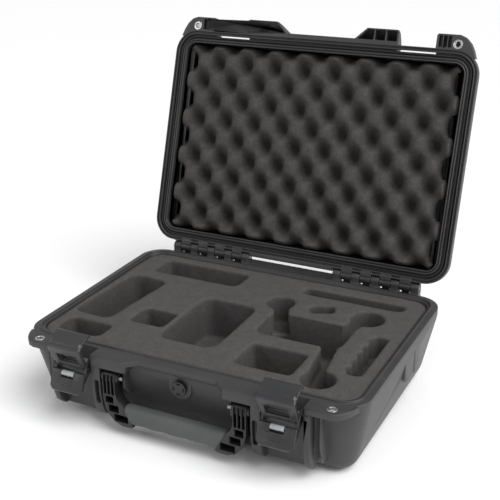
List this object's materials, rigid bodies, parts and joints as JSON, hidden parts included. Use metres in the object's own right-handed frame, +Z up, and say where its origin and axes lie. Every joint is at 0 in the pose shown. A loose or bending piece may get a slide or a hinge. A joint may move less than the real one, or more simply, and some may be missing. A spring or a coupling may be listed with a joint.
{
  "type": "drone carrying case",
  "caption": "Hard case for a small drone with hinged lid, draw latches, folding handle, padlock eyes and cut foam.",
  "frame": {"origin": "centre of the flat underside, where the case stands", "axes": "+X to the right of someone facing the front, +Y towards the hinges, +Z up"},
  "size_m": [0.47, 0.5184, 0.4507],
  "materials": {
    "shell": "moulded charcoal plastic with a fine spark texture",
    "latch_plastic": "smooth satin charcoal plastic",
    "black_plastic": "satin black plastic",
    "grip": "soft matt grey overmould",
    "button_plastic": "satin light grey plastic",
    "gasket": "matt black rubber",
    "membrane": "matt vent cloth",
    "steel": "ground steel",
    "eye_steel": "stainless steel, polished rim",
    "pocket_foam": "fine closed-cell foam",
    "lid_foam": "open-cell egg-crate foam"
  },
  "bodies": {
    "base": {"base_shell": "shell", "hinge_pin_left": "steel", "hinge_pin_right": "steel", "latch_pin_left": "steel", "latch_pin_right": "steel", "handle_pin_left": "steel", "handle_pin_right": "steel", "eye_base_left": "eye_steel", "eye_base_right": "eye_steel", "valve_body": "black_plastic", "valve_seal": "gasket", "valve_membrane": "membrane", "base_pad": "pocket_foam", "pocket_foam": "pocket_foam"},
    "lid": {"lid_shell": "shell", "lid_gasket": "gasket", "eye_lid_left": "eye_steel", "eye_lid_right": "eye_steel", "lid_foam": "lid_foam"},
    "lever_left": {"lever_left": "latch_plastic", "claw_pin_left": "steel", "button_spring_left": "steel"},
    "claw_left": {"claw_left": "latch_plastic"},
    "button_left": {"button_left": "button_plastic"},
    "lever_right": {"lever_right": "latch_plastic", "claw_pin_right": "steel", "button_spring_right": "steel"},
    "claw_right": {"claw_right": "latch_plastic"},
    "button_right": {"button_right": "button_plastic"},
    "handle": {"handle_frame": "black_plastic", "handle_grip": "grip"}
  },
  "joints": [
    {"name": "lid_hinge", "type": "hinge", "parent": "base", "child": "lid", "pos_m": [0, 0.17, 0.113], "axis": [1, 0, 0], "range_deg": [0, 108]},
    {"name": "lever_left_pivot", "type": "hinge", "parent": "base", "child": "lever_left", "pos_m": [-0.1445, -0.171, 0.091], "axis": [-1, 0, 0], "range_deg": [-15, 21]},
    {"name": "claw_left_pivot", "type": "hinge", "parent": "lever_left", "child": "claw_left", "pos_m": [-0.1445, -0.18009, 0.08412], "axis": [-1, 0, 0], "range_deg": [-52.5, 37.5]},
    {"name": "button_left_slide", "type": "slide", "parent": "lever_left", "child": "button_left", "axis": [0, -0.2588, -0.9659], "range_m": [0, 0.0025], "stiffness_N_per_m": 300, "springref_m": -0.001, "deforming": ["button_spring_left"]},
    {"name": "lever_right_pivot", "type": "hinge", "parent": "base", "child": "lever_right", "pos_m": [0.1445, -0.171, 0.091], "axis": [-1, 0, 0], "range_deg": [-15, 21]},
    {"name": "claw_right_pivot", "type": "hinge", "parent": "lever_right", "child": "claw_right", "pos_m": [0.1445, -0.18009, 0.08412], "axis": [-1, 0, 0], "range_deg": [-52.5, 37.5]},
    {"name": "button_right_slide", "type": "slide", "parent": "lever_right", "child": "button_right", "axis": [0, -0.2588, -0.9659], "range_m": [0, 0.0025], "stiffness_N_per_m": 300, "springref_m": -0.001, "deforming": ["button_spring_right"]},
    {"name": "handle_hinge", "type": "hinge", "parent": "base", "child": "handle", "pos_m": [0, -0.174, 0.079], "axis": [-1, 0, 0], "range_deg": [0, 95]}
  ],
  "couplings": [
    {"joint": "claw_left_pivot", "follows": "lever_left_pivot", "ratio": -2.5},
    {"joint": "claw_right_pivot", "follows": "lever_right_pivot", "ratio": -2.5}
  ]
}
